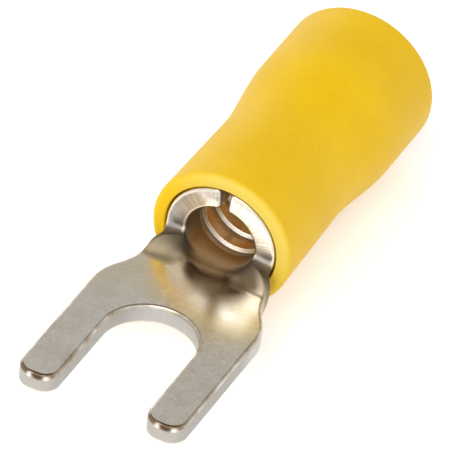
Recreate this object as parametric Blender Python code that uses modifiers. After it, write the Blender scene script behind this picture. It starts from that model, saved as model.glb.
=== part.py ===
# Insulated fork terminal for crimping on a wire: a tinned copper sheet, stamped and rolled,
# with a moulded plastic sleeve over its barrel.
#
# Metres, +Z up. The fork points to -Y and the wire goes in from +Y. The sleeve's axis is
# level and the lowest line of the sleeve is at Z = 0. The origin is under the middle of
# the terminal's length.

import math

import bmesh
import bpy

MM = 0.001

# Copper sheet
SHEET_THICKNESS = 1.05 * MM
EDGE_RADIUS = 0.16 * MM

# Fork
FORK_WIDTH = 8.3 * MM
SLOT_WIDTH = 4.45 * MM
PRONG_TIP_FLAT = 0.325 * MM
TIP_TO_BARREL = 11.75 * MM
SLOT_ROOT_TO_BARREL = 4.55 * MM

# Neck between the fork and the barrel
SHOULDER_START = 4.3 * MM
SHOULDER_RADIUS = 2.6 * MM
NECK_INSET = 1.1 * MM
NECK_NARROWEST = 0.7 * MM
RIM_FILLET = 0.5 * MM
FLAT_END = 1.7 * MM
FLOOR_SINKS_FROM = 1.6 * MM
FLOOR_ROUND_AT = 1.6 * MM
FLOOR_SPREAD = math.radians(110)

# Barrel
BARREL_OUTER_RADIUS = 2.76 * MM
BARREL_LENGTH = 6.5 * MM
SEAM_GAP = 0.45 * MM
FLANGE_CORNER_RADIUS = 0.2 * MM
FORK_BELOW_AXIS = 1.47 * MM

# Serrations pressed into the bore
SERRATION_COUNT = 3
SERRATION_PITCH = 1.1 * MM
SERRATION_WIDTH = 0.6 * MM
SERRATION_DEPTH = 0.16 * MM
SERRATION_FLANK = 0.1 * MM
FIRST_SERRATION = 1.7 * MM

# Plastic sleeve
SLEEVE_LENGTH = 14.6 * MM
SLEEVE_FRONT_RADIUS = 3.49 * MM
SLEEVE_WAIST_RADIUS = 3.34 * MM
SLEEVE_ENTRY_RADIUS = 3.78 * MM
SLEEVE_WAIST_AT = 6.2 * MM
SLEEVE_FLARE_END = 10.8 * MM
SLEEVE_ENTRY_WALL = 0.66 * MM
SLEEVE_FRONT_FILLET = 0.32 * MM
SLEEVE_ENTRY_FILLET = 0.28 * MM
BORE_EDGE_FILLET = 0.08 * MM
SLEEVE_CLEARANCE = 0.06 * MM

# Facets
ROUND_FACETS = 80
ARC_STEP = math.radians(15)
EDGE_STEPS = 1
FLARE_STEPS = 9
NECK_ROWS = 20
BARREL_FACETS = 48

# Finish
TIN_COLOUR = (0.62, 0.60, 0.56)
TIN_ROUGHNESS = 0.3
PLASTIC_COLOUR = (0.85, 0.55, 0.02)
PLASTIC_ROUGHNESS = 0.4

# Limits for the mesh: corners this close are one, bends this slight are flat, bends this steep are sharp
WELD_DISTANCE = 0.001 * MM
FLAT_BEND = math.radians(0.1)
SHARP_BEND = math.radians(40)

# Worked out from the sizes above
SLOT_RADIUS = SLOT_WIDTH / 2
FORK_EDGE_X = FORK_WIDTH / 2
PRONG_TIP_RADIUS = (FORK_EDGE_X - SLOT_RADIUS - PRONG_TIP_FLAT) / 2
NECK_HALF_WIDTH = FORK_EDGE_X - NECK_INSET
BARREL_MID_RADIUS = BARREL_OUTER_RADIUS - SHEET_THICKNESS / 2
FLANGE_HALF_WIDTH = math.pi * BARREL_MID_RADIUS - SEAM_GAP / 2
OVERALL_LENGTH = TIP_TO_BARREL + SLEEVE_LENGTH
BARREL_FRONT_Y = TIP_TO_BARREL - OVERALL_LENGTH / 2
AXIS_Z = max(SLEEVE_FRONT_RADIUS, SLEEVE_ENTRY_RADIUS)


def clear_scene():
    for obj in list(bpy.data.objects):
        bpy.data.objects.remove(obj, do_unlink=True)


def new_collection(name, hidden=False):
    collection = bpy.data.collections.new(name)
    collection.hide_render = hidden
    bpy.context.scene.collection.children.link(collection)
    return collection


def new_material(name, colour, roughness, metallic):
    material = bpy.data.materials.new(name)
    material.use_nodes = True
    shader = material.node_tree.nodes["Principled BSDF"]
    shader.inputs["Base Color"].default_value = (*colour, 1.0)
    shader.inputs["Roughness"].default_value = roughness
    shader.inputs["Metallic"].default_value = metallic
    return material


def smooth_step(t):
    t = min(max(t, 0.0), 1.0)
    return t * t * (3.0 - 2.0 * t)


def eased_step(t):
    """Like smooth_step, but its bend also starts and ends at nothing."""
    t = min(max(t, 0.0), 1.0)
    return t**3 * (10.0 - 15.0 * t + 6.0 * t * t)


def arc(centre, radius, start, end):
    """Points on an arc, from one angle to another, in degrees."""
    start = math.radians(start)
    end = math.radians(end)
    steps = max(2, math.ceil(abs(end - start) / ARC_STEP))
    angles = [start + (end - start) * i / steps for i in range(steps + 1)]
    return [(centre[0] + radius * math.cos(a), centre[1] + radius * math.sin(a)) for a in angles]


def tangent_pair(start, end, first_radius):
    """An S-bend between two points, both ends along +Y: an arc that leans in and one that leans back."""
    inward = start[0] - end[0]
    along = end[1] - start[1]
    turn = 2 * math.atan2(inward, along)
    second_radius = along / math.sin(turn) - first_radius
    degrees = math.degrees(turn)
    first = arc((start[0] - first_radius, start[1]), first_radius, 0, degrees)
    second = arc((end[0] + second_radius, end[1]), second_radius, 180 + degrees, 180)
    return first + second[1:]


def blank_half_outline():
    """Right half of the stamped blank, laid flat: X across, Y along, Y = 0 at the barrel's front."""
    tip_y = PRONG_TIP_RADIUS - TIP_TO_BARREL
    corner = FLANGE_CORNER_RADIUS
    flange_corner_x = FLANGE_HALF_WIDTH - corner
    shoulder = (FORK_EDGE_X, -SHOULDER_START)
    neck = (NECK_HALF_WIDTH, -NECK_NARROWEST)
    points = arc((0, -SLOT_ROOT_TO_BARREL - SLOT_RADIUS), SLOT_RADIUS, 90, 0)
    points += arc((SLOT_RADIUS + PRONG_TIP_RADIUS, tip_y), PRONG_TIP_RADIUS, 180, 270)
    points += arc((FORK_EDGE_X - PRONG_TIP_RADIUS, tip_y), PRONG_TIP_RADIUS, 270, 360)
    points += tangent_pair(shoulder, neck, SHOULDER_RADIUS)
    points += arc((NECK_HALF_WIDTH + RIM_FILLET, -RIM_FILLET), RIM_FILLET, 180, 90)
    points += arc((flange_corner_x, corner), corner, 270, 360)
    points += arc((flange_corner_x, BARREL_LENGTH - corner), corner, 0, 90)
    return points


def flat_curve(name, outline, half_height, edge_radius, collection):
    """A closed flat outline, filled and made solid, its edges rounded inside the outline."""
    curve = bpy.data.curves.new(name, "CURVE")
    curve.dimensions = "2D"
    curve.fill_mode = "BOTH"
    curve.extrude = half_height - edge_radius
    curve.bevel_depth = edge_radius
    curve.bevel_resolution = EDGE_STEPS if edge_radius else 0
    curve.offset = -edge_radius
    spline = curve.splines.new("POLY")
    spline.points.add(len(outline) - 1)
    for point, (x, y) in zip(spline.points, outline):
        point.co = (x, y, 0, 1)
    spline.use_cyclic_u = True
    obj = bpy.data.objects.new(name, curve)
    collection.objects.link(obj)
    return obj


def as_mesh_object(source, collection):
    """The evaluated object as a mesh object in the same place, its caps welded. The source is removed."""
    bpy.context.view_layer.update()
    evaluated = source.evaluated_get(bpy.context.evaluated_depsgraph_get())
    mesh = bpy.data.meshes.new_from_object(evaluated)
    name = source.name
    place = source.matrix_world.copy()
    bpy.data.objects.remove(source, do_unlink=True)
    bm = bmesh.new()
    bm.from_mesh(mesh)
    bmesh.ops.remove_doubles(bm, verts=bm.verts, dist=WELD_DISTANCE)
    bmesh.ops.recalc_face_normals(bm, faces=bm.faces)
    bm.to_mesh(mesh)
    bm.free()
    obj = bpy.data.objects.new(name, mesh)
    obj.matrix_world = place
    collection.objects.link(obj)
    return obj


def serration_cutter(collection):
    """Straight trapezoid bars laid across the flat blank, one for each groove, on its upper face."""
    half_top = SERRATION_WIDTH / 2
    half_floor = half_top - SERRATION_FLANK
    reach = FLANGE_HALF_WIDTH + SHEET_THICKNESS
    section = [
        (-half_floor, -SERRATION_DEPTH),
        (half_floor, -SERRATION_DEPTH),
        (half_top, 0),
        (half_top, SHEET_THICKNESS),
        (-half_top, SHEET_THICKNESS),
        (-half_top, 0),
    ]
    bar = flat_curve("serration_cutter", section, reach, 0, collection)
    bar.rotation_euler = (math.pi / 2, 0, math.pi / 2)
    bar.location = (0, FIRST_SERRATION, SHEET_THICKNESS / 2)
    cutter = as_mesh_object(bar, collection)
    repeat = cutter.modifiers.new("Row of serrations", "ARRAY")
    repeat.count = SERRATION_COUNT
    repeat.use_relative_offset = False
    repeat.use_constant_offset = True
    repeat.constant_offset_displace = (SERRATION_PITCH, 0, 0)
    cutter.display_type = "WIRE"
    cutter.hide_render = True
    return cutter


def slice_for_forming(bm):
    """Cuts the blank into strips behind the fork, so that it can bend between them."""
    bmesh.ops.dissolve_limit(bm, angle_limit=FLAT_BEND, verts=bm.verts, edges=bm.edges)
    for i in range(NECK_ROWS + 1):
        everything = bm.verts[:] + bm.edges[:] + bm.faces[:]
        cut_at = (0, (FLAT_END + FLOOR_ROUND_AT) * i / NECK_ROWS - FLAT_END, 0)
        bmesh.ops.bisect_plane(bm, geom=everything, plane_co=cut_at, plane_no=(0, 1, 0))
    for i in range(1, BARREL_FACETS):
        cut_at = (FLANGE_HALF_WIDTH * (2 * i / BARREL_FACETS - 1), 0, 0)
        faces = [face for face in bm.faces if face.calc_center_median().y > -FLAT_END]
        edges = list({edge for face in faces for edge in face.edges})
        verts = list({vert for face in faces for vert in face.verts})
        bmesh.ops.bisect_plane(bm, geom=verts + edges + faces, plane_co=cut_at, plane_no=(1, 0, 0))


def formed_place(point):
    """Where a point of the flat blank ends up on the formed terminal, the barrel's axis at Z = 0."""
    across, along, above = point
    formed = eased_step(1 + along / FLAT_END)
    if formed == 0:
        return across, along, above - FORK_BELOW_AXIS
    radius = BARREL_MID_RADIUS / formed
    angle = across / radius
    sunk = eased_step((along + FLOOR_SINKS_FROM) / (FLOOR_SINKS_FROM + FLOOR_ROUND_AT))
    on_floor = max(0.0, 1.0 - (angle / FLOOR_SPREAD) ** 2) ** 2
    drop = (BARREL_MID_RADIUS - FORK_BELOW_AXIS) * (formed + (sunk - formed) * on_floor)
    x = (radius - above) * math.sin(angle)
    z = above * math.cos(angle) + 2 * radius * math.sin(angle / 2) ** 2 - FORK_BELOW_AXIS - drop
    return x, along, z


def roll_up(bm):
    for vert in bm.verts:
        vert.co = formed_place(vert.co)


def reshape(obj, change):
    bm = bmesh.new()
    bm.from_mesh(obj.data)
    change(bm)
    bm.to_mesh(obj.data)
    bm.free()


def build_terminal(parts, cutters, material):
    """One sheet: stamped as a flat blank, serrated, then formed into a fork, a trough neck and a barrel."""
    right = blank_half_outline()
    left = [(-x, y) for x, y in reversed(right[1:])]
    blank = flat_curve("fork_terminal", right + left, SHEET_THICKNESS / 2, EDGE_RADIUS, parts)
    terminal = as_mesh_object(blank, parts)
    cut = terminal.modifiers.new("Serrations", "BOOLEAN")
    cut.operation = "DIFFERENCE"
    cut.solver = "MANIFOLD"
    cut.object = serration_cutter(cutters)
    terminal = as_mesh_object(terminal, parts)
    reshape(terminal, slice_for_forming)
    reshape(terminal, roll_up)
    terminal.location = (0, BARREL_FRONT_Y, AXIS_Z)
    finish_surface(terminal, material)
    return terminal


def sleeve_outer_radius(y):
    """Outer radius at a distance from the sleeve's front: a draft to the waist, then a flare to the entry."""
    if y < SLEEVE_WAIST_AT:
        return SLEEVE_FRONT_RADIUS + (SLEEVE_WAIST_RADIUS - SLEEVE_FRONT_RADIUS) * y / SLEEVE_WAIST_AT
    flare = smooth_step((y - SLEEVE_WAIST_AT) / (SLEEVE_FLARE_END - SLEEVE_WAIST_AT))
    return SLEEVE_WAIST_RADIUS + (SLEEVE_ENTRY_RADIUS - SLEEVE_WAIST_RADIUS) * flare


def sleeve_bore_radius(y):
    """Inner radius at a distance from the sleeve's front: it grips the barrel, then opens into a funnel."""
    grip = BARREL_OUTER_RADIUS + SLEEVE_CLEARANCE
    entry = SLEEVE_ENTRY_RADIUS - SLEEVE_ENTRY_WALL
    opening = smooth_step((y - BARREL_LENGTH) / (SLEEVE_FLARE_END - BARREL_LENGTH))
    return grip + (entry - grip) * opening


def even_steps(start, end):
    return [start + (end - start) * i / FLARE_STEPS for i in range(FLARE_STEPS + 1)]


def sleeve_profile():
    """Radius and distance from the front, down the outside from the wire entry and back up the bore."""
    front = SLEEVE_FRONT_FILLET
    rear = SLEEVE_LENGTH - SLEEVE_ENTRY_FILLET
    lip = BORE_EDGE_FILLET
    flare = even_steps(SLEEVE_WAIST_AT, SLEEVE_FLARE_END)
    funnel = even_steps(BARREL_LENGTH, SLEEVE_FLARE_END)
    entry_bore = sleeve_bore_radius(SLEEVE_LENGTH)
    front_bore = sleeve_bore_radius(0)
    points = arc((entry_bore + lip, SLEEVE_LENGTH - lip), lip, 180, 90)
    points += arc((sleeve_outer_radius(rear) - SLEEVE_ENTRY_FILLET, rear), SLEEVE_ENTRY_FILLET, 90, 0)
    points += [(sleeve_outer_radius(y), y) for y in reversed(flare)]
    points += arc((sleeve_outer_radius(front) - front, front), front, 0, -90)
    points += arc((front_bore + lip, lip), lip, 270, 180)
    points += [(sleeve_bore_radius(y), y) for y in funnel]
    return points


def build_sleeve(parts, material):
    """The moulded sleeve, turned from its section about the barrel's axis."""
    profile = sleeve_profile()
    mesh = bpy.data.meshes.new("insulating_sleeve")
    ring = [(i, (i + 1) % len(profile)) for i in range(len(profile))]
    mesh.from_pydata([(radius, 0, y) for radius, y in profile], ring, [])
    sleeve = bpy.data.objects.new("insulating_sleeve", mesh)
    parts.objects.link(sleeve)
    sleeve.rotation_euler = (-math.pi / 2, 0, 0)
    sleeve.location = (0, BARREL_FRONT_Y, AXIS_Z)
    turn = sleeve.modifiers.new("Turned section", "SCREW")
    turn.axis = "Z"
    turn.steps = ROUND_FACETS
    turn.render_steps = ROUND_FACETS
    turn.use_merge_vertices = True
    turn.merge_threshold = WELD_DISTANCE
    turn.use_smooth_shade = True
    sleeve.data.materials.append(material)
    return sleeve


def finish_surface(obj, material):
    obj.data.materials.clear()
    obj.data.materials.append(material)
    obj.data.shade_smooth()
    obj.data.set_sharp_from_angle(angle=SHARP_BEND)


def main():
    clear_scene()
    parts = new_collection("insulated_fork_terminal")
    cutters = new_collection("cutters", hidden=True)
    tinned_copper = new_material("tinned_copper", TIN_COLOUR, TIN_ROUGHNESS, metallic=1.0)
    yellow_plastic = new_material("yellow_plastic", PLASTIC_COLOUR, PLASTIC_ROUGHNESS, metallic=0.0)
    build_terminal(parts, cutters, tinned_copper)
    build_sleeve(parts, yellow_plastic)


main()
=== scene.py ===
# Insulated fork terminal: a tinned copper fork and barrel in a yellow moulded sleeve, on a pale floor.
import math
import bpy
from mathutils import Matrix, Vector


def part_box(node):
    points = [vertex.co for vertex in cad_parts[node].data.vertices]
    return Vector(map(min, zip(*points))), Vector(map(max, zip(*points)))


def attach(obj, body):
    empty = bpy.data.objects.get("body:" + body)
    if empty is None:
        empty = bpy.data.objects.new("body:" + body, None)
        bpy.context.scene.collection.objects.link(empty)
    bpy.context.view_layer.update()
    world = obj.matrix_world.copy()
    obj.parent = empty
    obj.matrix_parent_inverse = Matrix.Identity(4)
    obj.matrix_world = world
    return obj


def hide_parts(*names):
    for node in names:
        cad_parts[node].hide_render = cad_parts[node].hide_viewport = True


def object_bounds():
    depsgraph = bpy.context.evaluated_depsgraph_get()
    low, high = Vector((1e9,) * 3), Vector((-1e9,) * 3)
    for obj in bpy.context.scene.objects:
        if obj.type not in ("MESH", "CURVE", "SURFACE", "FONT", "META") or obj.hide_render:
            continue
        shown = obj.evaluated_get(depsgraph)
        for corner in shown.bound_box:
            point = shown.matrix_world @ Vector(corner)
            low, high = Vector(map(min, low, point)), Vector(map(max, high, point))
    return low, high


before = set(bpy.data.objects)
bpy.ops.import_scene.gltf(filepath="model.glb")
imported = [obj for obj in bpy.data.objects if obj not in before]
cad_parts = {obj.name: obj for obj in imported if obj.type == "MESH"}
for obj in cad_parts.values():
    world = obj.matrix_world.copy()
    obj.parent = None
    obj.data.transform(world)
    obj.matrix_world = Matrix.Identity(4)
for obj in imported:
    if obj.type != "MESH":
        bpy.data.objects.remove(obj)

from types import SimpleNamespace

import bmesh
import bpy
from mathutils import Matrix, Vector

mm = 0.001
weldDistance = 0.001 * mm
sharpBend = math.radians(40)
flatBend = math.radians(0.1)
cadLow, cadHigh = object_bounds()
print("frame loaded:", sorted(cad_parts))


# Shader maths

class Socket:
    # A value in a material. Sums on it add Math nodes, and node() adds any other node.

    def __init__(self, tree, link=None):
        self.tree = tree
        self.link = link

    def node(self, kind, settings=None, values=None, output=0):
        made = self.tree.nodes.new(kind)
        for key, value in (settings or {}).items():
            if key == "stops":
                setStops(made.color_ramp, value)
            else:
                setattr(made, key, value)
        for key, value in (values or {}).items():
            if isinstance(value, Socket):
                self.tree.links.new(value.link, made.inputs[key])
            else:
                made.inputs[key].default_value = value
        return Socket(self.tree, made.outputs[output] if made.outputs else None)

    def maths(self, operation, *values):
        return self.node("ShaderNodeMath", {"operation": operation}, dict(enumerate(values)))

    def __add__(self, other):
        return self.maths("ADD", self, other)

    def __sub__(self, other):
        return self.maths("SUBTRACT", self, other)

    def __mul__(self, other):
        return self.maths("MULTIPLY", self, other)

    def __truediv__(self, other):
        return self.maths("DIVIDE", self, other)

    def __radd__(self, other):
        return self.maths("ADD", other, self)

    def __rsub__(self, other):
        return self.maths("SUBTRACT", other, self)

    def __rmul__(self, other):
        return self.maths("MULTIPLY", other, self)

    def between(self, low, high):  # 0 at low, 1 at high, smooth on the way, and low may be the larger
        flip = low > high
        low, high = min(low, high), max(low, high)
        values = {"Value": self, "From Min": low, "From Max": high}
        step = self.node("ShaderNodeMapRange", {"interpolation_type": "SMOOTHSTEP"}, values)
        return 1 - step if flip else step

    def band(self, start, full, fading, gone):  # 1 from full to fading, 0 before start and after gone
        return self.between(start, full) * self.between(gone, fading)

    def mixColours(self, first, second):
        first, second = (value if isinstance(value, Socket) else colour(value) for value in (first, second))
        return self.node("ShaderNodeMix", {"data_type": "RGBA"}, {0: self, 6: first, 7: second}, output=2)


def colour(value):
    return (*value, 1) if hasattr(value, "__len__") else (value, value, value, 1)


def setStops(ramp, stops):
    while len(ramp.elements) > 1:
        ramp.elements.remove(ramp.elements[-1])
    ramp.elements[0].position = stops[0][0]
    ramp.elements[0].color = colour(stops[0][1])
    for place, value in stops[1:]:
        ramp.elements.new(place).color = colour(value)


def startMaterial(name):
    material = bpy.data.materials.new(name)
    material.use_nodes = True
    material.node_tree.nodes.clear()
    return material, Socket(material.node_tree)


def noise(tools, place, scale, detail, roughness):
    values = {"Vector": place, "Scale": scale, "Detail": detail, "Roughness": roughness}
    return tools.node("ShaderNodeTexNoise", values=values)


# Forming the terminal from its flat blank, as the press does it

terminalSetup = {
    "sheet": 1.05 * mm,
    "edgeRound": 0.17 * mm,
    "edgeSteps": 3,
    "forkWidth": 8.3 * mm,
    "slotWidth": 4.45 * mm,
    "tipFlat": 0.325 * mm,
    "tipToBarrel": 11.75 * mm,
    "slotRoot": 4.55 * mm,
    "shoulderStart": 4.3 * mm,
    "shoulderRadius": 2.6 * mm,
    "neckHalfWidth": 3.05 * mm,
    "neckNarrowest": 0.7 * mm,
    "rimFillet": 0.5 * mm,
    "flatEnd": 1.7 * mm,
    "floorSinksFrom": 1.6 * mm,
    "floorRoundAt": 1.6 * mm,
    "floorSpread": math.radians(110),
    "barrelRadius": 2.76 * mm,
    "barrelLength": 6.5 * mm,
    "seamGap": 0.45 * mm,
    "flangeCorner": 0.2 * mm,
    "forkBelowAxis": 1.47 * mm,
    "serrations": 3,
    "serrationPitch": 1.1 * mm,
    "serrationWidth": 0.6 * mm,
    "serrationDepth": 0.16 * mm,
    "serrationFlank": 0.1 * mm,
    "firstSerration": 1.7 * mm,
    "streakSkew": 0.06,  # how much a shear streak drifts on its way through the sheet
    "arcStep": 6,
    "neckRows": 56,
    "barrelFacets": 120,
}
barrelMiddle = terminalSetup["barrelRadius"] - terminalSetup["sheet"] / 2
flangeHalf = math.pi * barrelMiddle - terminalSetup["seamGap"] / 2
prongMiddle = (terminalSetup["forkWidth"] + terminalSetup["slotWidth"]) / 4
barrelFront = cadLow.y + terminalSetup["tipToBarrel"]
axisHeight = (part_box("insulating_sleeve")[0].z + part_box("insulating_sleeve")[1].z) / 2


def smoothStep(t):
    t = min(max(t, 0), 1)
    return t * t * (3 - 2 * t)


def easedStep(t):  # as smoothStep, but it starts and stops with no change of curvature
    t = min(max(t, 0), 1)
    return t * t * t * (10 - 15 * t + 6 * t * t)


def arc(centreX, centreY, radius, start, end):
    steps = max(2, math.ceil(abs(end - start) / terminalSetup["arcStep"]))
    turns = [math.radians(start + (end - start) * i / steps) for i in range(steps + 1)]
    return [(centreX + radius * math.cos(a), centreY + radius * math.sin(a)) for a in turns]


def sideBend(start, end, firstRadius):  # the shoulder's arc and the neck's arc, tangent to each other
    along = end[1] - start[1]
    turn = 2 * math.atan2(start[0] - end[0], along)
    secondRadius = along / math.sin(turn) - firstRadius
    degrees = math.degrees(turn)
    shoulder = arc(start[0] - firstRadius, start[1], firstRadius, 0, degrees)
    return shoulder + arc(end[0] + secondRadius, end[1], secondRadius, 180 + degrees, 180)[1:]


def blankOutline():
    t = terminalSetup
    slot = t["slotWidth"] / 2
    edge = t["forkWidth"] / 2
    tip = (edge - slot - t["tipFlat"]) / 2
    tipY = tip - t["tipToBarrel"]
    fillet = t["rimFillet"]
    corner = t["flangeCorner"]
    neck = t["neckHalfWidth"]
    right = arc(0, -t["slotRoot"] - slot, slot, 90, 0)
    right += arc(slot + tip, tipY, tip, 180, 270)
    right += arc(edge - tip, tipY, tip, 270, 360)
    right += sideBend((edge, -t["shoulderStart"]), (neck, -t["neckNarrowest"]), t["shoulderRadius"])
    right += arc(neck + fillet, -fillet, fillet, 180, 90)
    right += arc(flangeHalf - corner, corner, corner, 270, 360)
    right += arc(flangeHalf - corner, t["barrelLength"] - corner, corner, 0, 90)
    return right + [(-x, y) for x, y in reversed(right[1:])]


def extruded(name, outline, halfHeight, edgeRound, edgeSteps):
    curve = bpy.data.curves.new(name, "CURVE")
    curve.dimensions = "2D"
    curve.fill_mode = "BOTH"
    curve.extrude = halfHeight - edgeRound
    curve.bevel_depth = edgeRound
    curve.bevel_resolution = edgeSteps
    curve.offset = -edgeRound
    spline = curve.splines.new("POLY")
    spline.points.add(len(outline) - 1)
    for point, (x, y) in zip(spline.points, outline):
        point.co = (x, y, 0, 1)
    spline.use_cyclic_u = True
    made = bpy.data.objects.new(name, curve)
    bpy.context.scene.collection.objects.link(made)
    return made


def toMesh(source):  # the evaluated shape as a welded mesh object, in place of the source
    bpy.context.view_layer.update()
    mesh = bpy.data.meshes.new_from_object(source.evaluated_get(bpy.context.evaluated_depsgraph_get()))
    name, place = source.name, source.matrix_world.copy()
    bpy.data.objects.remove(source, do_unlink=True)
    mesh.transform(place)
    bm = bmesh.new()
    bm.from_mesh(mesh)
    bmesh.ops.remove_doubles(bm, verts=bm.verts, dist=weldDistance)
    bmesh.ops.recalc_face_normals(bm, faces=bm.faces)
    bm.to_mesh(mesh)
    bm.free()
    made = bpy.data.objects.new(name, mesh)
    bpy.context.scene.collection.objects.link(made)
    return made


def serrationBars():
    t = terminalSetup
    top, floor = t["serrationWidth"] / 2, t["serrationWidth"] / 2 - t["serrationFlank"]
    depth, sheet = t["serrationDepth"], t["sheet"]
    section = [(-floor, -depth), (floor, -depth), (top, 0), (top, sheet), (-top, sheet), (-top, 0)]
    bar = extruded("serrationBars", section, flangeHalf + sheet, 0, 0)
    bar.rotation_euler = (math.pi / 2, 0, math.pi / 2)
    bar.location = (0, t["firstSerration"], sheet / 2)
    bar = toMesh(bar)
    row = bar.modifiers.new("row", "ARRAY")
    row.count = t["serrations"]
    row.use_relative_offset = False
    row.use_constant_offset = True
    row.constant_offset_displace = (0, t["serrationPitch"], 0)
    return toMesh(bar)


def sliceBlank(bm):
    t = terminalSetup
    bmesh.ops.dissolve_limit(bm, angle_limit=flatBend, verts=bm.verts, edges=bm.edges)
    for i in range(t["neckRows"] + 1):
        whole = bm.verts[:] + bm.edges[:] + bm.faces[:]
        cutAt = (0, (t["flatEnd"] + t["floorRoundAt"]) * i / t["neckRows"] - t["flatEnd"], 0)
        bmesh.ops.bisect_plane(bm, geom=whole, plane_co=cutAt, plane_no=(0, 1, 0))
    for i in range(1, t["barrelFacets"]):
        cutAt = (flangeHalf * (2 * i / t["barrelFacets"] - 1), 0, 0)
        faces = [face for face in bm.faces if face.calc_center_median().y > -t["flatEnd"]]
        edges = list({edge for face in faces for edge in face.edges})
        verts = list({vert for face in faces for vert in face.verts})
        bmesh.ops.bisect_plane(bm, geom=verts + edges + faces, plane_co=cutAt, plane_no=(1, 0, 0))


def formedPlace(point):
    t = terminalSetup
    across, along, above = point
    formed = easedStep(1 + along / t["flatEnd"])
    if formed == 0:
        return across, along, above - t["forkBelowAxis"]
    radius = barrelMiddle / formed
    angle = across / radius
    sunk = easedStep((along + t["floorSinksFrom"]) / (t["floorSinksFrom"] + t["floorRoundAt"]))
    onFloor = max(0, 1 - (angle / t["floorSpread"]) ** 2) ** 2
    drop = (barrelMiddle - t["forkBelowAxis"]) * (formed + (sunk - formed) * onFloor)
    x = (radius - above) * math.sin(angle)
    rise = above * math.cos(angle) + 2 * radius * math.sin(angle / 2) ** 2
    return x, along, rise - t["forkBelowAxis"] - drop


def makeTerminal(material):
    t = terminalSetup
    stamped = extruded("tinnedTerminal", blankOutline(), t["sheet"] / 2, t["edgeRound"], t["edgeSteps"])
    terminal = toMesh(stamped)
    bars = serrationBars()
    press = terminal.modifiers.new("serrations", "BOOLEAN")
    press.operation = "DIFFERENCE"
    press.solver = "MANIFOLD"
    press.object = bars
    terminal = toMesh(terminal)
    bpy.data.objects.remove(bars, do_unlink=True)
    bm = bmesh.new()
    bm.from_mesh(terminal.data)
    sliceBlank(bm)
    blank = bm.verts.layers.float_vector.new("blankPlace")
    through = bm.verts.layers.float.new("throughSheet")  # -1 outside, 1 inside
    formed = bm.verts.layers.float.new("formed")  # 0 on the fork, 1 on the barrel
    for vert in bm.verts:
        flat = vert.co.copy()
        vert[blank] = (flat.x, flat.y, flat.z * t["streakSkew"])
        vert[through] = flat.z / (t["sheet"] / 2)
        vert.co = formedPlace(flat)
        vert[formed] = easedStep(1 + flat.y / t["flatEnd"])
    bmesh.ops.translate(bm, vec=(0, barrelFront, axisHeight), verts=bm.verts)
    bm.to_mesh(terminal.data)
    bm.free()
    terminal.data.materials.clear()
    terminal.data.materials.append(material)
    terminal.data.shade_smooth()
    terminal.data.set_sharp_from_angle(angle=sharpBend)
    normals = terminal.modifiers.new("even normals", "WEIGHTED_NORMAL")
    normals.keep_sharp = True
    normals.weight = 100
    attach(terminal, "root")
    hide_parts("fork_terminal")


# Sleeve

sleeveSetup = {
    "length": 14.6 * mm,
    "frontRadius": 3.49 * mm,
    "waistRadius": 3.34 * mm,
    "entryRadius": 3.78 * mm,
    "waistAt": 6.2 * mm,
    "flareEnd": 10.8 * mm,
    "entryWall": 0.66 * mm,
    "frontFillet": 0.32 * mm,
    "entryFillet": 0.28 * mm,
    "boreFillet": 0.08 * mm,
    "clearance": 0.06 * mm,
    "facets": 192,
    "steps": 28,
}


def sleeveOuter(y):
    s = sleeveSetup
    if y < s["waistAt"]:
        return s["frontRadius"] + (s["waistRadius"] - s["frontRadius"]) * y / s["waistAt"]
    flare = smoothStep((y - s["waistAt"]) / (s["flareEnd"] - s["waistAt"]))
    return s["waistRadius"] + (s["entryRadius"] - s["waistRadius"]) * flare


def sleeveBore(y):
    s = sleeveSetup
    grip = terminalSetup["barrelRadius"] + s["clearance"]
    barrelEnd = terminalSetup["barrelLength"]
    opening = smoothStep((y - barrelEnd) / (s["flareEnd"] - barrelEnd))
    return grip + (s["entryRadius"] - s["entryWall"] - grip) * opening


def evenSteps(start, end):
    steps = sleeveSetup["steps"]
    return [start + (end - start) * i / steps for i in range(steps + 1)]


def makeSleeve(material):
    s = sleeveSetup
    front = s["frontFillet"]
    rear = s["length"] - s["entryFillet"]
    lip = s["boreFillet"]
    points = arc(sleeveBore(s["length"]) + lip, s["length"] - lip, lip, 180, 90)
    points += arc(sleeveOuter(rear) - s["entryFillet"], rear, s["entryFillet"], 90, 0)
    points += [(sleeveOuter(y), y) for y in reversed(evenSteps(s["waistAt"], s["flareEnd"]))]
    points += [(sleeveOuter(y), y) for y in reversed(evenSteps(front, s["waistAt"])[1:-1])]
    points += arc(sleeveOuter(front) - front, front, front, 0, -90)
    points += arc(sleeveBore(0) + lip, lip, lip, 270, 180)
    points += [(sleeveBore(y), y) for y in evenSteps(terminalSetup["barrelLength"], s["flareEnd"])]
    mesh = bpy.data.meshes.new("yellowSleeve")
    ring = [(i, (i + 1) % len(points)) for i in range(len(points))]
    mesh.from_pydata([(radius, 0, y) for radius, y in points], ring, [])
    sleeve = bpy.data.objects.new("yellowSleeve", mesh)
    bpy.context.scene.collection.objects.link(sleeve)
    turn = sleeve.modifiers.new("turn", "SCREW")
    turn.steps = turn.render_steps = s["facets"]
    turn.use_merge_vertices = True
    turn.merge_threshold = weldDistance
    sleeve.rotation_euler = (-math.pi / 2, 0, 0)
    sleeve.location = (0, barrelFront, axisHeight)
    sleeve = toMesh(sleeve)
    sleeve.data.materials.append(material)
    sleeve.data.shade_smooth()
    sleeve.data.set_sharp_from_angle(angle=sharpBend)
    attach(sleeve, "root")
    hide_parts("insulating_sleeve")


# Finishes

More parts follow.
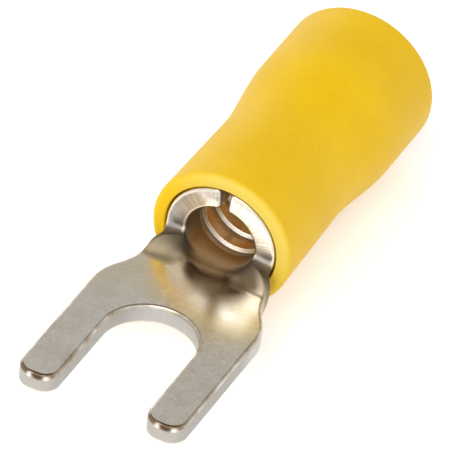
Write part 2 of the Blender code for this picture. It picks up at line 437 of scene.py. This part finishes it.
tinSetup = {
    # Face of the sheet
    "bright": (0.83, 0.78, 0.70),
    "dull": (0.67, 0.60, 0.50),
    "tinge": (0.64, 0.55, 0.42),
    # painted reflection of the yellow sleeve: a golden tint on the tongue before the neck
    "sleeveReflectionTint": (0.80, 0.71, 0.51),
    "sleeveReflectionShare": 0.55,
    # painted highlight: a pale patch on the tongue's right shoulder
    "pressed": (0.98, 0.95, 0.89),
    "pressedShare": 0.8,
    # Sheared walls
    "shadedForkWall": [  # painted light and shade along the fork, from the tips to the barrel
        (0.0, (0.46, 0.43, 0.39)),
        (0.08, (0.33, 0.32, 0.31)),
        (0.35, (0.31, 0.305, 0.30)),
        (0.52, (0.36, 0.345, 0.33)),
        (0.60, (0.50, 0.485, 0.47)),
        (0.90, (0.55, 0.48, 0.37)),
    ],
    "wallDull": (0.46, 0.41, 0.34),
    "wallStreak": 0.2,
    "shadedRim": [  # painted light and shade round the barrel's front edge, from the left of the seam by the floor to its right
        (0.05, (0.88, 0.85, 0.80)),
        (0.08, (0.34, 0.29, 0.22)),
        (0.14, (0.25, 0.21, 0.16)),
        (0.20, (0.40, 0.38, 0.38)),
        (0.30, (0.38, 0.36, 0.34)),
        (0.50, (0.63, 0.60, 0.54)),
        (0.68, (0.55, 0.52, 0.48)),
        (0.76, (0.46, 0.43, 0.38)),
        (0.80, (0.94, 0.92, 0.88)),
        (0.83, (0.97, 0.96, 0.93)),
    ],
    "rimStreak": 0.55,
    # darker blotches over the rim's left half
    "rimDarkBlotch": (0.20, 0.17, 0.15),
    "rimDarkBlotchShare": 0.6,
    # Edges and prong tips
    # painted shade on the neck's edges, with pale painted glints, more of them on the right
    "neckEdgeShade": (0.20, 0.165, 0.12),
    "neckEdgeGlints": (0.80, 0.74, 0.66),
    "neckEdgeShadeShare": 0.8,
    # painted dark reflection along the fork's rounded top edges, darker at the tips
    "edgeReflection": (0.33, 0.25, 0.165),
    "tipEdgeReflection": (0.20, 0.14, 0.09),
    # painted shade: a dark line across each prong tip's upper edge
    "tipShadeLine": (0.10, 0.065, 0.04),
    # painted highlight: a pale spot on each prong tip's wall
    "tipHighlight": (0.86, 0.81, 0.73),
    # Trough, flanges and bore
    # painted dark reflection of the bore, a U on the neck in front of it
    "trough": (0.35, 0.275, 0.18),
    # painted shade and reflections where the flanges bend up by the neck: dark towards the barrel, beige on
    # the left, dark brown on the right, tan at the right's outer edge
    "flangeShade": (0.17, 0.135, 0.095),
    "flangeLeft": (0.35, 0.29, 0.185),
    "flangeRight": (0.17, 0.12, 0.065),
    "flangeOuter": (0.46, 0.38, 0.27),
    "insideBore": (0.97, 0.87, 0.72),
    "boreShade": (0.24, 0.20, 0.13),
    "boreShadeShare": 0.7,
    # painted dark reflection: the bore's mouth and the neck floor before it brown, darker towards the neck,
    # with random blotches
    "boreFloor": (0.50, 0.32, 0.12),
    "boreFloorDarkReflection": (0.24, 0.145, 0.045),
    "boreShare": 0.9,
    # painted highlight: the groove flanks and the sheared walls inside the barrel paler than the tin
    "grooveHighlight": (0.95, 0.91, 0.86),
    "grooveHighlightShare": 0.8,
    "serrationWorn": (0.60, 0.56, 0.51),
    "serrationWornShare": 0.7,
    # Where the marks lie on the flat blank, in mm: along it behind the barrel's front, or across it.
    # Two places are where a mark starts and is full, and two more where it fades and has gone.
    "sleeveReflectionAlong": (-6.2, -3, -0.2, 0.2),
    "pressedAlong": (-5, -4, -3.7, -2.9),
    "pressedAcross": (1.4, 2.3, 3.1, 3.7),
    "tipsAlong": (-11.2, -11.6),
    "tipShift": 0.2,  # the painted shade line and highlight on the tips sit to the right of the prongs' middles
    "tipShadeLineOff": (0.4, 0.05),
    "tipHighlightOff": (0.2, 0.35, 0.4, 0.6),
    "neckEdgeAlong": (-1.6, -1, -0.5, -0.1),
    "rimDarkBlotchAcross": (0, -2),
    "troughMiddle": 0.6,
    "troughStart": 2.6,
    "troughCurve": 0.34,
    "troughSides": (0.3, 1.2),
    "troughAlong": (-2, -1.4),
    "flangeAcross": (1.1, 2),
    "flangeAlong": (-1.9, -1.4, -0.15, 0),
    "flangeLag": 0.2,  # the right flange starts this much later
    "rightAcross": (1.2, 2.4),
    "outerAcross": (2.5, 2.9),
    "flangeShadeAlong": (-1.25, -0.6),
    "boreFloorAlong": (2.2, 1.5),
    "boreDarkeningAlong": (0.3, -0.6),
    "boreShadeAlong": (2.1, 1.3),
    "boreShadeAcross": (-1.6, -3.4),
    "serrationAlong": (1, 1.2),
    # Surface
    "roughness": 0.21,
    "roughnessSpread": 0.06,
    "shearedRoughness": 0.36,
    "boreRoughness": 0.45,
    "bendRoughness": 0.6,
    "cloud": 380,
    "blotch": 900,
    "speckle": 5200,
    "grain": 15000,
    "streak": 7000,
    "bump": 0.05,
    "bumpDepth": 0.004 * mm,
}


def readSheet(tools):  # the noises of the tin and each point's place on the flat blank, in mm
    t = tinSetup
    place = tools.node("ShaderNodeTexCoord", output="Object")
    blank = tools.node("ShaderNodeAttribute", {"attribute_name": "blankPlace"}, output="Vector")
    through = tools.node("ShaderNodeAttribute", {"attribute_name": "throughSheet"}, output="Fac")
    formed = tools.node("ShaderNodeAttribute", {"attribute_name": "formed"}, output="Fac")
    depth = tools.maths("ABSOLUTE", through)
    across, along = (
        tools.node("ShaderNodeSeparateXYZ", values={"Vector": blank}, output=axis) / mm for axis in "XY")
    return SimpleNamespace(
        through=through,
        formed=formed,
        depth=depth,
        across=across,
        along=along,
        wall=1 - depth.between(0.6, 0.8),
        inside=through.between(0.75, 0.98) * formed.between(0.08, 0.65),
        onRight=across.between(*t["rightAcross"]),
        cloud=noise(tools, place, t["cloud"], 3, 0.6),
        blotch=noise(tools, place, t["blotch"], 4, 0.6),
        speckle=noise(tools, place, t["speckle"], 3, 0.6),
        grain=noise(tools, place, t["grain"], 2, 0.5),
        drag=noise(tools, blank, t["streak"], 2, 0.5).between(0.35, 0.65),
    )


def faceColour(sheet, wear):
    t = tinSetup
    face = wear.mixColours(t["bright"], t["dull"])
    tinge = sheet.cloud.between(0.48, 0.66) * (0.3 + sheet.speckle.between(0.4, 0.6) * 0.4)
    face = tinge.mixColours(face, t["tinge"])
    # painted reflection of the yellow sleeve, in blotches on the tongue before the neck
    sleeveReflection = sheet.along.band(*t["sleeveReflectionAlong"]) * sheet.blotch.between(0.3, 0.62)
    face = (sleeveReflection * t["sleeveReflectionShare"]).mixColours(face, t["sleeveReflectionTint"])
    # painted highlight: a pale patch on the tongue's right shoulder
    pressed = sheet.across.band(*t["pressedAcross"]) * sheet.along.band(*t["pressedAlong"])
    return (pressed * t["pressedShare"]).mixColours(face, t["pressed"])


def wallColour(tools, sheet):
    t = tinSetup
    # the barrel's front edge: painted light and shade round it, with shear streaks
    aroundRim = sheet.across * (mm / (2 * flangeHalf)) + 0.5
    shadedRim = tools.node("ShaderNodeValToRGB", {"stops": t["shadedRim"]}, {"Fac": aroundRim})
    shadedRim = (sheet.drag * t["rimStreak"]).mixColours(shadedRim, t["wallDull"])
    # darker blotches over the rim's left half
    darkBlotch = sheet.blotch.between(0.42, 0.6) * sheet.across.between(*t["rimDarkBlotchAcross"])
    shadedRim = (darkBlotch * t["rimDarkBlotchShare"]).mixColours(shadedRim, t["rimDarkBlotch"])
    # the fork's sheared walls: painted light and shade along the fork, with shear streaks
    alongFork = sheet.along * (mm / terminalSetup["tipToBarrel"]) + 1
    shadedForkWall = tools.node("ShaderNodeValToRGB", {"stops": t["shadedForkWall"]}, {"Fac": alongFork})
    shadedForkWall = (sheet.drag * t["wallStreak"]).mixColours(shadedForkWall, t["wallDull"])
    return sheet.formed.between(0.2, 0.9).mixColours(shadedForkWall, shadedRim)


def markEdges(tools, sheet, base):  # painted shade with pale painted glints on the neck's edges, a painted dark reflection along the stamped edges, and a painted shade line and a painted highlight on the prong tips
    t = tinSetup
    # painted shade on the neck's edges, with pale painted glints, more of them on the right
    neckEdge = (1 - sheet.depth.between(0.8, 0.97)) * sheet.along.band(*t["neckEdgeAlong"])
    glintShare = sheet.speckle.between(0.5, 0.62) * 0.6 + sheet.onRight * 0.3
    base = (neckEdge * t["neckEdgeShadeShare"]).mixColours(base, glintShare.mixColours(t["neckEdgeShade"], t["neckEdgeGlints"]))
    tip = sheet.along.between(*t["tipsAlong"])
    # painted dark reflection along the fork's rounded top edges, darker at the tips
    edgeReflection = sheet.through.band(0.55, 0.7, 0.985, 0.999) * (1 - sheet.formed.between(0.8, 0.95))
    edgeReflection = edgeReflection * (tip * 0.7 + sheet.blotch).between(0.1, 0.8)
    base = edgeReflection.mixColours(base, tip.mixColours(t["edgeReflection"], t["tipEdgeReflection"]))
    aside = tools.maths("ABSOLUTE", sheet.across - t["tipShift"])
    offProng = tools.maths("ABSOLUTE", aside - prongMiddle / mm)
    # painted highlight: a pale spot on each prong tip's wall
    highlightMask = offProng.band(*t["tipHighlightOff"]) * sheet.through.band(0.35, 0.55, 0.75, 0.95)
    base = (tip * highlightMask).mixColours(base, t["tipHighlight"])
    # painted shade: a dark line across each prong tip's upper edge
    shadeLine = offProng.between(*t["tipShadeLineOff"]) * sheet.through.band(0.3, 0.6, 0.985, 0.999)
    return (tip * shadeLine).mixColours(base, t["tipShadeLine"])


def paintTroughReflection(tools, sheet, base):  # a painted dark reflection of the bore, a U on the neck in front of it
    t = tinSetup
    aside = sheet.across - t["troughMiddle"]
    trough = (sheet.along + t["troughStart"] - aside * aside * t["troughCurve"]).between(-0.2, 0.4)
    sides = tools.maths("ABSOLUTE", aside).between(*t["troughSides"])
    sides = tools.maths("MAXIMUM", sides, sheet.along.between(*t["troughAlong"]))
    return (trough * sheet.through.between(0.7, 0.95) * sides).mixColours(base, t["trough"])


# the bore's own colour, with painted shade on its upper left, a painted dark reflection on its mouth and a
# painted highlight on its walls
def colourBore(sheet, boreFloor, base):
    t = tinSetup
    # random blotches, and a painted dark reflection that deepens towards the neck
    darkening = sheet.blotch.between(0.35, 0.65) * 0.3 + sheet.along.between(*t["boreDarkeningAlong"]) * 0.7
    bore = boreFloor.mixColours(t["insideBore"], darkening.mixColours(t["boreFloor"], t["boreFloorDarkReflection"]))
    shade = sheet.across.between(*t["boreShadeAcross"]) * sheet.along.between(*t["boreShadeAlong"])
    bore = (shade * t["boreShadeShare"]).mixColours(bore, t["boreShade"])
    base = (sheet.inside * t["boreShare"]).mixColours(base, bore)
    # painted highlight: the groove flanks and the sheared walls inside the barrel paler than the tin
    groove = sheet.wall * sheet.along.between(*t["serrationAlong"])
    return (groove * t["grooveHighlightShare"]).mixColours(base, t["grooveHighlight"])


# painted shade and reflections where the flanges bend up by the neck
def shadeFlanges(sheet, bend, base):
    t = tinSetup
    right = sheet.across.between(*t["outerAcross"]).mixColours(t["flangeRight"], t["flangeOuter"])
    flange = sheet.across.between(-1, 1).mixColours(t["flangeLeft"], right)
    flange = sheet.along.between(*t["flangeShadeAlong"]).mixColours(flange, t["flangeShade"])
    return bend.mixColours(base, flange)


def tinFinish():
    t = tinSetup
    material, tools = startMaterial("tinPlate")
    sheet = readSheet(tools)
    wear = (sheet.blotch * 0.4 + sheet.speckle * 0.2 + sheet.grain * 0.4).between(0.38, 0.64)
    boreFloor = sheet.inside * sheet.along.between(*t["boreFloorAlong"])
    start, full, fading, gone = t["flangeAlong"]
    bend = tools.maths("ABSOLUTE", sheet.across).between(*t["flangeAcross"])
    bend = bend * (sheet.along - sheet.onRight * t["flangeLag"]).between(start, full)
    bend = bend * sheet.along.between(gone, fading)
    bend = bend * (sheet.speckle * 0.5 + sheet.blotch * 0.5).between(0.1, 0.4)
    base = sheet.wall.mixColours(faceColour(sheet, wear), wallColour(tools, sheet))
    base = markEdges(tools, sheet, base)
    base = paintTroughReflection(tools, sheet, base)
    base = colourBore(sheet, boreFloor, base)
    base = shadeFlanges(sheet, bend, base)
    crest = sheet.formed.between(0.98, 0.999) * sheet.through.band(0.55, 0.65, 0.9, 0.99) * (1 - sheet.wall)
    crest = crest * sheet.speckle.between(0.42, 0.62)
    base = (crest * t["serrationWornShare"]).mixColours(base, t["serrationWorn"])
    rough = t["roughness"] + wear * t["roughnessSpread"]
    rough = rough + sheet.wall * (t["shearedRoughness"] - rough)
    rough = rough + boreFloor * (t["boreRoughness"] - rough)
    rough = rough + bend * (t["bendRoughness"] - rough)
    height = sheet.speckle + sheet.wall * sheet.drag * sheet.formed
    relief = {"Height": height, "Strength": t["bump"], "Distance": t["bumpDepth"]}
    bump = tools.node("ShaderNodeBump", values=relief)
    values = {"Base Color": base, "Metallic": 1.0, "Roughness": rough, "Normal": bump}
    shader = tools.node("ShaderNodeBsdfPrincipled", values=values)
    tools.node("ShaderNodeOutputMaterial", values={"Surface": shader})
    return material


plasticSetup = {
    "deep": (0.80, 0.485, 0.001),
    "light": (0.87, 0.55, 0.003),
    # painted highlight on the front lip's upper right
    "lipHighlight": (0.80, 0.60, 0.10),
    "frontFade": (0.34 * mm, -0.05 * mm),
    "lipHighlightReach": (-0.8 * mm, 2.8 * mm),
    "roughness": 0.42,
    "roughnessSpread": 0.12,
    "specular": 0.24,
    "cloud": 260,
    "grain": 7000,
    "bump": 0.25,
    "bumpDepth": 0.004 * mm,
}


def plasticFinish():
    p = plasticSetup
    material, tools = startMaterial("yellowPlastic")
    place = tools.node("ShaderNodeTexCoord", output="Object")
    cloud = noise(tools, place, p["cloud"], 4, 0.55)
    grain = noise(tools, place, p["grain"], 2, 0.5)
    toRight = tools.node("ShaderNodeSeparateXYZ", values={"Vector": place}, output="X")
    behindFront = tools.node("ShaderNodeSeparateXYZ", values={"Vector": place}, output="Y") - barrelFront
    overAxis = tools.node("ShaderNodeSeparateXYZ", values={"Vector": place}, output="Z") - axisHeight
    base = (cloud * 0.7 + grain * 0.3).between(0.3, 0.7).mixColours(p["deep"], p["light"])
    highlightSide = (toRight * 0.6 + overAxis * 0.8).between(*p["lipHighlightReach"])  # painted highlight: the lip is paler at its upper right, where the light catches it
    base = (highlightSide * behindFront.between(*p["frontFade"])).mixColours(base, p["lipHighlight"])
    rough = p["roughness"] + grain * p["roughnessSpread"]
    relief = {"Height": grain, "Strength": p["bump"], "Distance": p["bumpDepth"]}
    bump = tools.node("ShaderNodeBump", values=relief)
    values = {"Base Color": base, "Roughness": rough, "Normal": bump, "Specular IOR Level": p["specular"]}
    shader = tools.node("ShaderNodeBsdfPrincipled", values=values)
    tools.node("ShaderNodeOutputMaterial", values={"Surface": shader})
    return material


# Floor, light and camera

stageSetup = {
    "floorSize": 1.6,
    "floorColour": 0.93,
    "floorGlow": 0.38,  # seen and mirrored only: it lifts the floor to white and keeps the shadow
    "tentInFront": [  # brightness from the horizon up to straight overhead
        (0.0, 1.0),
        (0.86, 1.0),
        (0.96, (0.30, 0.26, 0.22)),
    ],
    "tentBehind": [
        (0.0, 1.0),
        (0.42, 1.0),
        (0.56, 0.56),
        (0.75, 0.52),
        (0.93, (0.17, 0.14, 0.11)),
    ],
    "tentTurn": (-0.1, 0.4),  # from the tent in front to the tent behind
    "tentStrength": 1.0,
    "softBoxes": [
        {"name": "frontSoftBox", "place": (-0.02, -0.20, 0.22), "size": 0.24, "power": 0.4},
        {"name": "backSoftBox", "place": (-0.26, 0.30, 0.09), "size": 0.16, "power": 0.06},
    ],
}


def makeFloor():
    bpy.ops.mesh.primitive_plane_add(size=stageSetup["floorSize"])
    floor = bpy.context.object
    floor.name = "floor"
    material, tools = startMaterial("paleFloor")
    seen = tools.node("ShaderNodeLightPath", output="Is Camera Ray")
    for ray in ("Is Glossy Ray", "Is Transmission Ray"):
        seen = tools.maths("MAXIMUM", seen, tools.node("ShaderNodeLightPath", output=ray))
    paint = tools.node("ShaderNodeBsdfDiffuse", values={"Color": colour(stageSetup["floorColour"])})
    glow = tools.node("ShaderNodeEmission", values={"Strength": stageSetup["floorGlow"]})
    lit = tools.node("ShaderNodeAddShader", values={0: paint, 1: glow})
    shader = tools.node("ShaderNodeMixShader", values={0: seen, 1: paint, 2: lit})
    tools.node("ShaderNodeOutputMaterial", values={"Surface": shader})
    floor.data.materials.append(material)


def makeLight():
    world = bpy.data.worlds.new("studio")
    bpy.context.scene.world = world
    world.use_nodes = True
    world.node_tree.nodes.clear()
    tools = Socket(world.node_tree)
    direction = tools.node("ShaderNodeTexCoord", output="Generated")
    height = tools.node("ShaderNodeSeparateXYZ", values={"Vector": direction}, output="Z")
    depth = tools.node("ShaderNodeSeparateXYZ", values={"Vector": direction}, output="Y")
    inFront = tools.node("ShaderNodeValToRGB", {"stops": stageSetup["tentInFront"]}, {"Fac": height})
    behind = tools.node("ShaderNodeValToRGB", {"stops": stageSetup["tentBehind"]}, {"Fac": height})
    tent = depth.between(*stageSetup["tentTurn"]).mixColours(inFront, behind)
    values = {"Color": tent, "Strength": stageSetup["tentStrength"]}
    soft = tools.node("ShaderNodeBackground", values=values)
    tools.node("ShaderNodeOutputWorld", values={"Surface": soft})
    for box in stageSetup["softBoxes"]:
        lamp = bpy.data.lights.new(box["name"], "AREA")
        lamp.size = box["size"]
        lamp.energy = box["power"]
        holder = bpy.data.objects.new(box["name"], lamp)
        holder.location = box["place"]
        holder.rotation_euler = (-Vector(box["place"])).to_track_quat("-Z", "Y").to_euler()
        bpy.context.scene.collection.objects.link(holder)


cameraSetup = {
    "fromBarrel": (91.39 * mm, -218.49 * mm, 190.26 * mm),  # place, from the barrel's front on its axis
    "azimuth": 22.66,
    "elevation": 38.64,
    "roll": 6.81,
    "lens": 539.1,
    "sensor": 36,
    "clipStart": 10 * mm,
}


def makeCamera():
    c = cameraSetup
    turn, dip, roll = (math.radians(c[key]) for key in ("azimuth", "elevation", "roll"))
    ahead = Vector((-math.sin(turn) * math.cos(dip), math.cos(turn) * math.cos(dip), -math.sin(dip)))
    level = Vector((math.cos(turn), math.sin(turn), 0))
    steep = level.cross(ahead)
    right = level * math.cos(roll) + steep * math.sin(roll)
    up = steep * math.cos(roll) - level * math.sin(roll)
    camera = bpy.data.cameras.new("camera")
    camera.lens = c["lens"]
    camera.sensor_width = c["sensor"]
    camera.clip_start = c["clipStart"]
    holder = bpy.data.objects.new("camera", camera)
    bpy.context.scene.collection.objects.link(holder)
    holder.matrix_world = Matrix((right, up, -ahead)).transposed().to_4x4()
    holder.location = Vector((0, barrelFront, axisHeight)) + Vector(c["fromBarrel"])
    bpy.context.scene.camera = holder


makeTerminal(tinFinish())
print("terminal formed")
makeSleeve(plasticFinish())
print("sleeve turned")
makeFloor()
makeLight()
makeCamera()
print("floor, light and camera set")

bpy.context.scene.view_settings.view_transform = "Standard"
